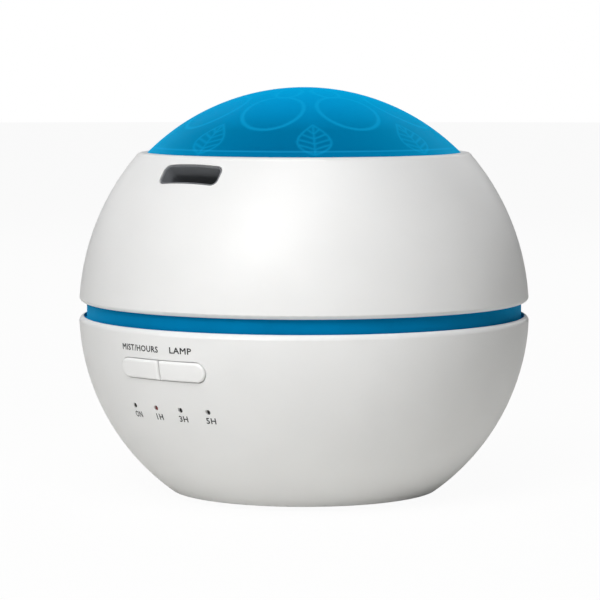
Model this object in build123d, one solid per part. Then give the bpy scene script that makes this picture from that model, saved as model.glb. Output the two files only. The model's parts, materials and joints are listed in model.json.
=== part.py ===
from build123d import *
from math import asin, atan2, cos, degrees, pi, radians, sin, sqrt, tan
import os

# Ball-shaped ultrasonic essential oil diffuser, in millimetres.
# The origin is on the table under the middle of the ball, +Z is up and the
# controls and the mist outlet face -Y.

# ---- driving dimensions ----
WALL = 2.4
FOOT_PROUD = 1.5
GAP = 0.1                      # gap between pieces that are lifted or pushed apart
FIT = 0.2                      # gap round a piece that is dropped into a hole

LOWER_CENTRE = (0.97, 68.64)   # (r, z) centre of the lower shell's outline circle
LOWER_RADIUS = 83.17
LOWER_LIP_Z = 66.75
LIP_RADIUS = 82.4              # inner edge of both shells at the groove
UPPER_CENTRE = (-6.29, 67.65)  # (r, z) centre of the upper shell's outline circle
UPPER_RADIUS = 90.4
UPPER_EDGE_Z = 72.1
RIM_Z = 127.4                  # top of the white rim round the dome
DOME_RIM_RADIUS = 58.3
DOME_RADIUS = 82.5
DOME_WALL = 2.0

GROOVE_RADIUS = 81.2           # outside of the blue accent ring in the groove
RING_INNER = 78.2
RING_TOP = 77.0
RING_FOOT_Z = 64.2
RING_FLANGE = 1.6              # height of the ring's foot
RING_LEDGE_Z = 72.0            # underside of the ledge that carries the tank
RING_LEDGE = 1.2
RING_LEDGE_INNER = 75.5

COVER_RADIUS = 46.7            # bottom cover
COVER_TOP = FOOT_PROUD + WALL
BASE_SCREW_RADIUS = 38.0
BASE_SCREW_ANGLES = (-90, 30, 150)
BASE_BOSS_Z = 8.0
FEET = [(x, y) for x in (-24, 24) for y in (-24, 24)]
FOOT_RADIUS = 5.5
FOOT_RECESS = 0.8              # how deep a foot sits in the bottom cover
AIR_INLET_Y = 22.0             # middle of the round field of air slots
AIR_INLET_RADIUS = 15.0
AIR_SLOT_PITCH = 5.0
AIR_SLOT = 2.4

TANK_FLOOR_Z = 40.0
TANK_FLOOR = 2.2
TANK_UNDER_Z = TANK_FLOOR_Z - TANK_FLOOR
TANK_RIM_Z = 75.0
TANK_MOUTH = 64.3
TRANSDUCER_Y = -12.0
DISC_Z = 36.4                  # underside of the ultrasonic disc
LIGHT_Z = 31.0                 # underside of the two light boards
FAN_Y = 28.0
FAN_SIZE = 40.0
FAN_TOP = 34.0
FAN_HEIGHT = 10.0
FAN_HOLE = 16.0                # half the spacing of the fan's screw holes
DUCT_BORE = 10.0
DUCT_WALL = 2.0
DUCT_TOP = 82.0

BUTTON_Z = 52.6
BUTTON_WIDTH = 38.2            # the pair, end to end
BUTTON_HEIGHT = 7.0
BUTTON_SPLIT = 0.5             # gap between the two buttons
BUTTON_GAP = 0.25              # gap round the pair
BUTTON_PROUD = 1.05
BUTTON_EDGE = 1.0              # rounding of the buttons' front edges
BUTTON_X = 9.7
PLUNGER_REACH = 5.1            # from the control board's front to the plunger's tip
LED_Z = 38.4
LED_XS = (-16.95, -5.65, 5.65, 16.95)
LED_HOLE = 0.95

CONTROL_BACK = -68.4           # the control board stands upright behind the buttons
CONTROL_FRONT = -70.0
CONTROL_POSTS = [(x, z) for x in (-20.5, 20.5) for z in (43.8, 60.4)]
MAIN_Z = 10.0                  # underside of the main board
BOARD = 1.6
MAIN_TOP = MAIN_Z + BOARD
MAIN_POSTS = [(x, y) for x in (-26, 26) for y in (-29, 1)]

JACK_Z = 15.0
JACK_WALL_Y = 54.5             # outer face of the pocket's end wall
JACK_WALL = 1.8
JACK_THREAD = 3.95             # radius of the inlet's threaded body
JACK_TAG_X = 2.2               # solder tags
JACK_TAG_Y = 40.0
PIN_RADIUS = 1.05
PIN_LENGTH = 9.5

SLOT_WIDTH = 27.0
SLOT_HEIGHT = 8.4
SLOT_CORNER = 2.7
SLOT_Z = 121.4

CHAMBER_FLANGE_Z = 82.0
CHAMBER_WALL = 2.0             # thickness of the mist chamber's flange and roof
CHAMBER_SCREW_RADIUS = 74.2
CHAMBER_SCREW_ANGLES = (45, 135, 225, 315)


# ---- helpers ----
def arc_radius(centre, radius, height):
    """Radius from the vertical axis of an outline circle at a height."""
    return centre[0] + sqrt(radius**2 - (height - centre[1]) ** 2)


def outline_arc(centre, radius, z_from, z_to):
    """Stretch of an outline circle between two heights."""
    heights = (z_from, (z_from + z_to) / 2, z_to)
    return ThreePointArc(*[(arc_radius(centre, radius, z), z) for z in heights])


def cap_arc(rim_radius, rim_z, top_z):
    """Arc from a rim up to the vertical axis, level where it meets the axis."""
    rise = top_z - rim_z
    radius = (rim_radius**2 + rise**2) / (2 * rise)
    half = asin(rim_radius / radius) / 2
    middle = (radius * sin(half), top_z - radius * (1 - cos(half)))
    return ThreePointArc((rim_radius, rim_z), middle, (0, top_z))


def turned(*edges):
    """Solid of revolution about the vertical axis from a closed (r, z) outline."""
    return revolve(Plane.XZ * make_face(list(edges)), Axis.Z)


def ring(outer, inner, z_low, z_high, x=0, y=0):
    """Plain upright ring, or a disc when the inner radius is zero."""
    section = Circle(outer)
    if inner:
        section -= Circle(inner)
    return Pos(x, y, z_low) * extrude(section, z_high - z_low)


def block(x_low, x_high, y_low, y_high, z_low, z_high):
    """Box between two corners."""
    middle = ((x_low + x_high) / 2, (y_low + y_high) / 2, (z_low + z_high) / 2)
    return Pos(*middle) * Box(x_high - x_low, y_high - y_low, z_high - z_low)


def rod_y(x, z, y_low, y_high, radius):
    """Round rod that lies along Y."""
    return Pos(x, (y_low + y_high) / 2, z) * Rot(90, 0, 0) * Cylinder(radius, y_high - y_low)


def around(radius, angles, x=0, y=0):
    """Points on a circle, as (x, y) pairs."""
    return [(x + radius * cos(radians(a)), y + radius * sin(radians(a))) for a in angles]


def inside(centre, radius, z_low, z_high):
    """Everything within an outline circle, between two heights."""
    return turned(
        outline_arc(centre, radius, z_low, z_high),
        Line((arc_radius(centre, radius, z_high), z_high), (0, z_high)),
        Line((0, z_high), (0, z_low)),
        Line((0, z_low), (arc_radius(centre, radius, z_low), z_low)),
    )


def screw(head_radius, head_height, shank_radius, length):
    """Cross-head screw that points up, with the underside of its head at the origin."""
    body = ring(head_radius, 0, -head_height, 0)
    body = chamfer(body.edges().group_by(Axis.Z)[0], head_height / 4)
    slot = head_radius * 0.32
    for width, depth in ((slot, head_radius * 1.2), (head_radius * 1.2, slot)):
        body -= Pos(0, 0, -head_height) * Box(width, depth, head_height)
    return body + ring(shank_radius, 0, 0, length)


def lead(radius, *points):
    """Round wire along straight runs joined by wide arcs."""
    corners = [Vector(*p) for p in points]
    runs = [b - a for a, b in zip(corners, corners[1:])]
    radii = []
    for before, after in zip(runs, runs[1:]):
        half_turn = radians(before.get_angle(after)) / 2
        radii.append(0.45 * min(before.length, after.length) / tan(half_turn))
    path = FilletPolyline(*corners, radius=radii)
    section = Plane(origin=path @ 0, z_dir=path % 0) * Circle(radius)
    wire = sweep(section, path=path)
    print("lead volume ratio", round(wire.volume / (pi * radius**2 * path.length), 4),
          "smallest bend", round(min(radii), 1))
    return wire


# ---- base: shells and tank ----
def lower_housing():
    """White lower half of the ball, open at the top and at the bottom."""
    wall_z = LOWER_LIP_Z - 1.8
    inner = LOWER_RADIUS - WALL
    seat_z, step = RING_FOOT_Z - GAP, 79.6
    neck_z, flange_low = 60.5, COVER_TOP + GAP
    flange_top, flange_inner = flange_low + 2.4, 43.0
    opening = COVER_RADIUS + FIT
    wall = arc_radius(LOWER_CENTRE, LOWER_RADIUS, wall_z)
    shell = turned(
        outline_arc(LOWER_CENTRE, LOWER_RADIUS, FOOT_PROUD, wall_z),
        ThreePointArc((wall, wall_z), (wall - 0.42, LOWER_LIP_Z - 0.7),
                      (LIP_RADIUS + 0.25, LOWER_LIP_Z)),
        Polyline((LIP_RADIUS + 0.25, LOWER_LIP_Z), (LIP_RADIUS, LOWER_LIP_Z),
                 (LIP_RADIUS, seat_z), (step, seat_z), (step, seat_z - WALL),
                 (arc_radius(LOWER_CENTRE, inner, neck_z), neck_z)),
        outline_arc(LOWER_CENTRE, inner, neck_z, flange_top),
        Polyline((arc_radius(LOWER_CENTRE, inner, flange_top), flange_top),
                 (flange_inner, flange_top), (flange_inner, flange_low), (opening, flange_low),
                 (opening, FOOT_PROUD),
                 (arc_radius(LOWER_CENTRE, LOWER_RADIUS, FOOT_PROUD), FOOT_PROUD)),
    )
    room = inside(LOWER_CENTRE, LOWER_RADIUS - WALL / 2, FOOT_PROUD, neck_z + 4)
    pocket_half, pocket_wall = 7.0, JACK_WALL
    fittings = block(-pocket_half - pocket_wall, pocket_half + pocket_wall,
                     JACK_WALL_Y - JACK_WALL, 80, JACK_Z - 7.8, JACK_Z + 7.8)
    for x, z in CONTROL_POSTS:
        fittings += rod_y(x, z, -85, CONTROL_FRONT, 2.3)
    shell += fittings & room
    shell -= block(-pocket_half, pocket_half, JACK_WALL_Y, 90, JACK_Z - 6, JACK_Z + 6)
    shell -= rod_y(0, JACK_Z, JACK_WALL_Y - 5, JACK_WALL_Y + 5, JACK_THREAD + GAP)
    shell -= button_bar(BUTTON_WIDTH + 2 * BUTTON_GAP, BUTTON_HEIGHT + 2 * BUTTON_GAP)
    for x in LED_XS:
        shell -= rod_y(x, LED_Z, -90, -71, LED_HOLE)
    for x, z in CONTROL_POSTS:
        shell -= rod_y(x, z, -75.5, CONTROL_FRONT, 0.9)
    return shell


def bottom_cover():
    """Flat plate under the ball, with the air inlet and the board's posts."""
    plate = ring(COVER_RADIUS, 0, FOOT_PROUD, COVER_TOP)
    screw_places = around(BASE_SCREW_RADIUS, BASE_SCREW_ANGLES)
    for x, y in screw_places:
        plate += ring(4.7, 0, COVER_TOP, BASE_BOSS_Z, x, y)
    for x, y in MAIN_POSTS:
        plate += ring(3.0, 1.1, COVER_TOP, MAIN_Z, x, y)
    for x, y in screw_places:
        plate -= ring(3.3, 0, 0, COVER_TOP + GAP, x, y)
        plate -= ring(1.7, 0, 0, BASE_BOSS_Z, x, y)
    for x, y in FEET:
        plate -= ring(FOOT_RADIUS + 0.05, 0, 0, FOOT_PROUD + FOOT_RECESS, x, y)
    for row in range(-2, 3):
        offset = row * AIR_SLOT_PITCH
        length = 2 * sqrt(AIR_INLET_RADIUS**2 - offset**2)
        plate -= Pos(0, AIR_INLET_Y + offset, 0) * extrude(SlotOverall(length, AIR_SLOT), 10)
    return plate


def rubber_foot(x, y):
    """Round stick-on foot."""
    foot = ring(FOOT_RADIUS, 0, 0, FOOT_PROUD + FOOT_RECESS)
    return Pos(x, y, 0) * fillet(foot.edges().group_by(Axis.Z)[0], 0.5)


def accent_ring():
    """Translucent ring that shows in the groove and carries the tank."""
    foot, foot_top = LIP_RADIUS - GAP, RING_FOOT_Z + RING_FLANGE
    ledge_low = RING_LEDGE_Z - RING_LEDGE
    return turned(Polyline(
        (RING_INNER, RING_FOOT_Z), (foot, RING_FOOT_Z), (foot, foot_top),
        (GROOVE_RADIUS, foot_top), (GROOVE_RADIUS, RING_TOP), (RING_INNER, RING_TOP),
        (RING_INNER, RING_LEDGE_Z), (RING_LEDGE_INNER, RING_LEDGE_Z),
        (RING_LEDGE_INNER, ledge_low), (RING_INNER, ledge_low - 2.3),
        close=True))


def water_tank():
    """Water tank with the fan's skirt and the screw bosses under its floor."""
    corner, bend = (53.3, 48.0), 8.0
    inner_foot, outer_foot = corner[0] + bend, corner[0] + bend + TANK_FLOOR
    rim, rim_low = 78.0, TANK_RIM_Z - 2
    tank = turned(
        Polyline((0, TANK_UNDER_Z), (0, TANK_FLOOR_Z), (corner[0], TANK_FLOOR_Z)),
        CenterArc(corner, bend, -90, 90),
        Polyline((inner_foot, corner[1]), (TANK_MOUTH, TANK_RIM_Z), (rim, TANK_RIM_Z),
                 (rim, rim_low), (TANK_MOUTH + TANK_FLOOR, rim_low), (outer_foot, corner[1])),
        CenterArc(corner, bend + TANK_FLOOR, -90, 90),
        Line((corner[0], TANK_UNDER_Z), (0, TANK_UNDER_Z)),
    )
    skirt = RectangleRounded(FAN_SIZE, FAN_SIZE, 3) - RectangleRounded(36.4, 36.4, 1.5)
    tank += Pos(0, FAN_Y, FAN_TOP) * extrude(skirt, TANK_UNDER_Z - FAN_TOP)
    tank += ring(18, 0, 35.8, TANK_UNDER_Z, 0, TRANSDUCER_Y)
    bosses = [(x, y, BASE_BOSS_Z, 3.6, 1.5, 14)
              for x, y in around(BASE_SCREW_RADIUS, BASE_SCREW_ANGLES)]
    bosses += [(x, FAN_Y + y, FAN_TOP, 3.2, 1.2, 5)
               for x in (-FAN_HOLE, FAN_HOLE) for y in (-FAN_HOLE, FAN_HOLE)]
    bosses += [(x, y, LIGHT_Z + BOARD, 2.4, 0.9, 4) for x in (-38, 38) for y in (-16, 0)]
    for x, y, low, radius, pilot, depth in bosses:
        tank += ring(radius, 0, low, TANK_UNDER_Z, x, y)
    for x, y, low, radius, pilot, depth in bosses:
        tank -= ring(pilot, 0, low, low + depth, x, y)
    tank -= ring(DUCT_BORE + DUCT_WALL, 0, TANK_UNDER_Z, TANK_FLOOR_Z, 0, FAN_Y)
    tank -= ring(13.05, 0, 35, 38.2, 0, TRANSDUCER_Y)
    tank -= ring(8.5, 0, 35, TANK_FLOOR_Z, 0, TRANSDUCER_Y)
    for x, y in around(15.5, (30, 150, 270), 0, TRANSDUCER_Y):
        tank -= ring(0.9, 0, 35.8, 38.6, x, y)
    return tank


def air_duct():
    """Pipe that is bonded into the tank's floor and leads the fan's air up past the water."""
    return ring(DUCT_BORE + DUCT_WALL, DUCT_BORE, TANK_UNDER_Z, DUCT_TOP, 0, FAN_Y)


def air_duct_hood():
    """Cap over the air duct that keeps water out of the fan."""
    hood = ring(DUCT_BORE - GAP, DUCT_BORE - 1.3, DUCT_TOP - 6, DUCT_TOP)
    hood += ring(DUCT_BORE + DUCT_WALL, DUCT_BORE - 1.3, DUCT_TOP, DUCT_TOP + 1.2)
    for x, y in around(DUCT_BORE + 0.4, (90, 210, 330)):
        hood += ring(1.2, 0, DUCT_TOP + 0.6, DUCT_TOP + 7.6, x, y)
    cap = turned(
        Line((0, DUCT_TOP + 7), (13, DUCT_TOP + 7)),
        Line((13, DUCT_TOP + 7), (13, DUCT_TOP + 8)),
        cap_arc(13, DUCT_TOP + 8, DUCT_TOP + 9.6),
        Line((0, DUCT_TOP + 9.6), (0, DUCT_TOP + 7)),
    )
    return Pos(0, FAN_Y, 0) * (hood + cap)


# ---- base: mist maker ----
def transducer_parts():
    """Ultrasonic disc in its seal, held up under the tank by a screwed plate."""
    disc = ring(10, 0, DISC_Z, DISC_Z + 1.3, 0, TRANSDUCER_Y)
    seal = ring(13, 8.6, 35.8, 38.2, 0, TRANSDUCER_Y)
    seal -= ring(10, 0, DISC_Z, DISC_Z + 1.3, 0, TRANSDUCER_Y)
    places = around(15.5, (30, 150, 270), 0, TRANSDUCER_Y)
    plate = ring(18, 8, 34.6, 35.8, 0, TRANSDUCER_Y)
    for x, y in places:
        plate -= ring(1.05, 0, 34, 36, x, y)
    fixing = screw(1.7, 1.1, 0.85, 3.6)
    return {
        "transducer_disc": disc,
        "transducer_seal": seal,
        "transducer_plate": plate,
        "transducer_screws": Compound([Pos(x, y, 34.6) * fixing for x, y in places]),
    }


# ---- base: fan ----
def fan_parts():
    """Square fan under the tank: frame, motor, bearing, shaft and bladed rotor."""
    low = FAN_TOP - FAN_HEIGHT
    place = Pos(0, FAN_Y, low)
    frame = extrude(RectangleRounded(FAN_SIZE, FAN_SIZE, 3), FAN_HEIGHT)
    frame -= ring(18.6, 0, 0, FAN_HEIGHT)
    frame += ring(9.5, 0, 0, 1.4)
    for turn in (20, 110, 200, 290):
        frame += Rot(0, 0, turn) * block(8, 19.2, -1, 1, 0, 1.4)
    frame += ring(4, 0, 0, 7)
    frame -= ring(2.8, 0, 1.4, 7)
    holes = [(x, y) for x in (-FAN_HOLE, FAN_HOLE) for y in (-FAN_HOLE, FAN_HOLE)]
    for x, y in holes:
        frame -= ring(1.6, 0, 0, FAN_HEIGHT, x, y)
    rotor = ring(10.5, 9.5, 1.9, 9.4) + ring(10.5, 1.0, 8.2, 9.4)
    for index in range(7):
        blade = Pos(14.2, 0, 5.6) * Rot(38, 0, 0) * Box(8.4, 8.2, 0.9)
        rotor += Rot(0, 0, index * 360 / 7) * blade & ring(18, 10, 2.2, 9.0)
    stator = ring(5.4, 4, 2.4, 6.6)
    for index in range(4):
        pole = block(5, 7.6, -1.3, 1.3, 2.8, 6.2) + block(7.2, 8.0, -3.2, 3.2, 2.8, 6.2)
        stator += Rot(0, 0, 45 + index * 90) * pole & ring(8.0, 4.2, 2.4, 6.6)
    nodes = {
        "fan_frame": frame,
        "fan_bearing": ring(2.8, 1.04, 1.8, 7),
        "fan_stator": stator,
        "fan_rotor": rotor,
        "fan_magnet": ring(9.5, 8.5, 2.2, 7.6),
        "fan_shaft": ring(1.0, 0, 2.0, 9.4),
    }
    nodes = {name: place * piece for name, piece in nodes.items()}
    fixing = screw(2.4, 1.5, 1.15, 14)
    nodes["fan_screws"] = Compound([place * Pos(x, y, 0) * fixing for x, y in holes])
    return nodes


# ---- base: main board ----
def main_board():
    """Driver board on the bottom cover's posts."""
    board = block(-30, 30, -32, 4, MAIN_Z, MAIN_TOP)
    for x, y in MAIN_POSTS:
        board -= ring(1.3, 0, MAIN_Z, MAIN_TOP, x, y)
    return board


def heat_sink():
    """Finned block that stands on the main board."""
    sink = block(3, 21, -22, -19.5, MAIN_TOP, MAIN_TOP + 17)
    for index in range(6):
        x = 3 + index * 3.3
        sink += block(x, x + 1.5, -20, -13, MAIN_TOP, MAIN_TOP + 17)
    return sink


def power_transistor():
    """Transistor with its metal tab against the heat sink."""
    body = block(7, 17, -26.4, -23.3, MAIN_TOP + 3, MAIN_TOP + 12)
    body += block(7, 17, -23.3, -22, MAIN_TOP + 3, MAIN_TOP + 16)
    for x in (9.4, 12, 14.6):
        body += block(x - 0.4, x + 0.4, -25.2, -24.6, MAIN_TOP, MAIN_TOP + 3.5)
    return body


def capacitor(x, y, radius, height):
    """Upright can capacitor with a groove near its foot."""
    can = ring(radius, 0, MAIN_TOP, MAIN_TOP + height, x, y)
    can = fillet(can.edges().group_by(Axis.Z)[-1], 0.5)
    return can - ring(radius, radius - 0.3, MAIN_TOP + 1.4, MAIN_TOP + 2.2, x, y)


def inductor():
    """Drum core with its winding."""
    drum = ring(5.5, 0, MAIN_TOP, MAIN_TOP + 1.6, -4, -24)
    drum += ring(5.0, 0, MAIN_TOP + 1.6, MAIN_TOP + 7.4, -4, -24)
    return drum + ring(5.5, 0, MAIN_TOP + 7.4, MAIN_TOP + 9, -4, -24)


def chip(x, y, length, width, height):
    """Flat chip with legs along its two long sides."""
    body = block(x - length / 2, x + length / 2, y - width / 2, y + width / 2,
                 MAIN_TOP, MAIN_TOP + height)
    legs = int(length / 1.6)
    for index in range(legs):
        leg_x = x - length / 2 + (index + 0.5) * length / legs
        body += block(leg_x - 0.25, leg_x + 0.25, y - width / 2 - 0.9, y + width / 2 + 0.9,
                      MAIN_TOP, MAIN_TOP + 0.4)
    return body


CONNECTORS = {  # (x, y) of each header on the main board
    "fan": (20, 0.0),
    "inlet": (-14, 0.0),
    "transducer": (0, -7),
    "control": (-14, -29),
    "light_left": (-26.5, -12),
    "light_right": (26.5, -12),
}
HEADER_HALF = 3.0
HEADER_HEIGHT = 5.0


def header(x, y):
    """Small wire-to-board header."""
    body = block(x - HEADER_HALF, x + HEADER_HALF, y - 2.2, y + 2.2,
                 MAIN_TOP, MAIN_TOP + HEADER_HEIGHT)
    return chamfer(body.edges().group_by(Axis.Z)[-1], 0.3)


def main_board_parts():
    """Main board and everything that is soldered or screwed to it."""
    fixing = Rot(180, 0, 0) * screw(2.4, 1.5, 1.05, 7)
    return {
        "main_board": main_board(),
        "heat_sink": heat_sink(),
        "power_transistor": power_transistor(),
        "board_capacitors": Compound([capacitor(-23, -22, 4, 12), capacitor(-13, -17, 3.2, 10),
                                      capacitor(11, -6, 3.2, 10)]),
        "board_inductor": inductor(),
        "board_chips": Compound([chip(-12, -8, 9.6, 4, 1.6), chip(21, -8, 4.8, 4, 1.4)]),
        "board_headers": Compound([header(x, y) for x, y in CONNECTORS.values()]),
        "main_board_screws": Compound([Pos(x, y, MAIN_TOP) * fixing for x, y in MAIN_POSTS]),
    }


# ---- base: controls ----
def control_board():
    """Upright board behind the buttons."""
    board = block(-23, 23, CONTROL_FRONT, CONTROL_BACK, 35.5, 63)
    for x, z in CONTROL_POSTS:
        board -= rod_y(x, z, CONTROL_FRONT, CONTROL_BACK, 1.05)
    return board


def tact_switch(x):
    """Square push switch with a round well for its plunger."""
    body = block(x - 3, x + 3, CONTROL_FRONT - 3.5, CONTROL_FRONT, BUTTON_Z - 3, BUTTON_Z + 3)
    return body - rod_y(x, BUTTON_Z, CONTROL_FRONT - 3.5, CONTROL_FRONT - 2.3, 1.8)


def indicator_led(x):
    """Round lamp that points at its hole in the shell."""
    base_y = CONTROL_FRONT - 1.5
    return rod_y(x, LED_Z, base_y, CONTROL_FRONT, 1.5) + Pos(x, base_y, LED_Z) * Sphere(1.5)


def indicator_window(x):
    """Smoked light guide just inside the shell's surface."""
    front = -sqrt(arc_radius(LOWER_CENTRE, LOWER_RADIUS, LED_Z) ** 2 - x**2) + 0.8
    return rod_y(x, LED_Z, front, front + 1.4, LED_HOLE - 0.02)


def control_parts():
    """Control board with its switches, lamps, connector and screws."""
    fixing = Rot(90, 0, 0) * screw(1.8, 1.3, 0.85, 6)
    socket = block(7, 13, CONTROL_BACK, CONTROL_BACK + 4, 35.5, 39.5)
    return {
        "control_board": control_board(),
        "tact_switches": Compound([tact_switch(x) for x in (-BUTTON_X, BUTTON_X)]),
        "indicator_leds": Compound([indicator_led(x) for x in LED_XS]),
        "indicator_windows": Compound([indicator_window(x) for x in LED_XS]),
        "control_header": socket,
        "control_board_screws": Compound([Pos(x, CONTROL_BACK, z) * fixing
                                          for x, z in CONTROL_POSTS]),
    }


def light_parts():
    """Two coloured-light boards that shine up into the tank and the ring."""
    boards, lamps, screws = [], [], []
    top = LIGHT_Z + BOARD
    fixing = screw(1.7, 1.1, 0.85, 4.5)
    for x in (-38, 38):
        board = block(x - 7, x + 7, -19, 3, LIGHT_Z, top)
        for y in (-16, 0):
            board -= ring(1.05, 0, LIGHT_Z, top, x, y)
            screws.append(Pos(x, y, LIGHT_Z) * fixing)
        boards.append(board)
        lamps += [block(x - 2.2, x + 2.2, y - 2.2, y + 2.2, top, top + 1.6) for y in (-10.6, -5.4)]
    return {
        "light_boards": Compound(boards),
        "light_leds": Compound(lamps),
        "light_board_screws": Compound(screws),
    }


# ---- base: power inlet ----
def power_inlet_parts():
    """Round DC inlet with its centre pin and its nut inside the wall."""
    inner_face = JACK_WALL_Y - JACK_WALL
    rear, bore_end, root = 43.5, 45.5, 1.5
    body = rod_y(0, JACK_Z, JACK_WALL_Y, JACK_WALL_Y + 1, 5.4)
    body += rod_y(0, JACK_Z, rear, JACK_WALL_Y, JACK_THREAD)
    body -= rod_y(0, JACK_Z, bore_end, JACK_WALL_Y + 1, 2.85)
    body -= rod_y(0, JACK_Z, rear, bore_end, root)
    for x in (-JACK_TAG_X, JACK_TAG_X):
        body += block(x - 0.5, x + 0.5, JACK_TAG_Y, rear, JACK_Z - 1, JACK_Z + 1)
    nut = extrude(RegularPolygon(6.2, 6) - Circle(JACK_THREAD + 0.03), 1.8)
    pin = rod_y(0, JACK_Z, rear, bore_end, root)
    pin += rod_y(0, JACK_Z, bore_end, bore_end + PIN_LENGTH, PIN_RADIUS)
    return {
        "power_inlet": body,
        "inlet_pin": pin,
        "inlet_nut": Pos(0, inner_face, JACK_Z) * Rot(90, 0, 0) * nut,
    }


# ---- base: inner leads ----
def lead_parts():
    """Leads between the boards, the fan, the mist maker and the inlet."""
    top = MAIN_TOP + HEADER_HEIGHT
    fan_x, fan_y = CONNECTORS["fan"]
    inlet_x, inlet_y = CONNECTORS["inlet"]
    disc_x, disc_y = CONNECTORS["transducer"]
    control_x, control_y = CONNECTORS["control"]
    light_x, light_y = CONNECTORS["light_right"]
    light = lead(0.9, (light_x, light_y, top), (light_x, light_y, top + 4.5),
                 (light_x + 4.5, light_y + 2, top + 8.5), (light_x + 9, light_y + 4, top + 10.5),
                 (light_x + 9, light_y + 4, LIGHT_Z))
    return {
        "fan_lead": lead(0.9, (fan_x, fan_y, top), (fan_x, fan_y, top + 4),
                         (fan_x - 2.5, fan_y + 2, top + 8), (fan_x - 5, fan_y + 4.5, top + 10.4),
                         (fan_x - 5, FAN_Y - FAN_SIZE / 2, top + 10.4)),
        "inlet_lead": lead(1.1, (-JACK_TAG_X, JACK_TAG_Y, JACK_Z),
                           (-JACK_TAG_X, JACK_TAG_Y - 5, JACK_Z), (-6, 24, JACK_Z + 2),
                           (-11, 12, JACK_Z + 5.5), (inlet_x, inlet_y, top + 5),
                           (inlet_x, inlet_y, top)),
        "transducer_lead": lead(0.9, (disc_x, disc_y, top), (disc_x, disc_y, top + 5.5),
                                (disc_x + 0.6, disc_y - 2.5, top + 11),
                                (disc_x, disc_y - 5, top + 15), (disc_x, disc_y - 5, DISC_Z)),
        "control_lead": lead(1.2, (control_x, control_y, top), (control_x, control_y, top + 5),
                             (control_x + 3, control_y - 8, top + 10),
                             (control_x + 9, control_y - 17, top + 14), (3, -53, 33.5),
                             (10, -60, 37.5), (10, CONTROL_BACK + 4, 37.5)),
        "light_leads": Compound([light, mirror(light, Plane.YZ)]),
    }


# ---- buttons ----
def button_bar(width, height, side=0):
    """Bar along Y with rounded ends, for the pair of buttons or, with a side, for one half."""
    plan = SlotOverall(width, height)
    if side:
        half = (width - BUTTON_SPLIT) / 2
        plan &= Pos(side * (BUTTON_SPLIT + half) / 2, 0) * Rectangle(half, height)
    return Pos(0, -82, BUTTON_Z) * Rot(90, 0, 0) * extrude(plan, 10, both=True)


def button_layer(outer, inner):
    """Shell between two spheres that follow the lower shell's outline, round the buttons."""
    z_low, z_high = BUTTON_Z - 8, BUTTON_Z + 8
    return inside(LOWER_CENTRE, outer, z_low, z_high) - inside(
        LOWER_CENTRE, inner, z_low, z_high)


def button(side):
    """One push button of the pair: side is -1 for mist and 1 for light."""
    back = LOWER_RADIUS - WALL - 1.2
    cap = button_bar(BUTTON_WIDTH, BUTTON_HEIGHT, side)
    cap &= button_layer(LOWER_RADIUS + BUTTON_PROUD, back)
    cap = fillet(cap.faces().sort_by(Axis.Y)[0].edges(), BUTTON_EDGE)
    flange = button_bar(BUTTON_WIDTH + 2.4, BUTTON_HEIGHT + 2.6, side)
    flange &= button_layer(LOWER_RADIUS - WALL - GAP, back)
    stem_tip = CONTROL_FRONT - PLUNGER_REACH
    stem = rod_y(side * BUTTON_X, BUTTON_Z, stem_tip - 4, stem_tip, 2.0)
    return cap + flange + stem


def plunger(side):
    """Round plunger of a push switch."""
    return rod_y(side * BUTTON_X, BUTTON_Z, CONTROL_FRONT - PLUNGER_REACH,
                 CONTROL_FRONT - PLUNGER_REACH + 2.2, 1.7)


# ---- cover ----
SLOT_RADIUS = arc_radius(UPPER_CENTRE, UPPER_RADIUS, SLOT_Z)
SLOT_TILT = atan2(SLOT_Z - UPPER_CENTRE[1], SLOT_RADIUS - UPPER_CENTRE[0])
SLOT_PLANE = Plane(origin=(0, -SLOT_RADIUS, SLOT_Z), x_dir=(1, 0, 0),
                   z_dir=(0, -cos(SLOT_TILT), sin(SLOT_TILT)))


def slot_prism(width, height, corner, deep, proud):
    """Rounded rectangular bar along the slot's axis, from deep inside to proud of the skin."""
    start = SLOT_PLANE.offset(-deep)
    return extrude(start * RectangleRounded(width, height, corner), deep + proud)


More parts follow.
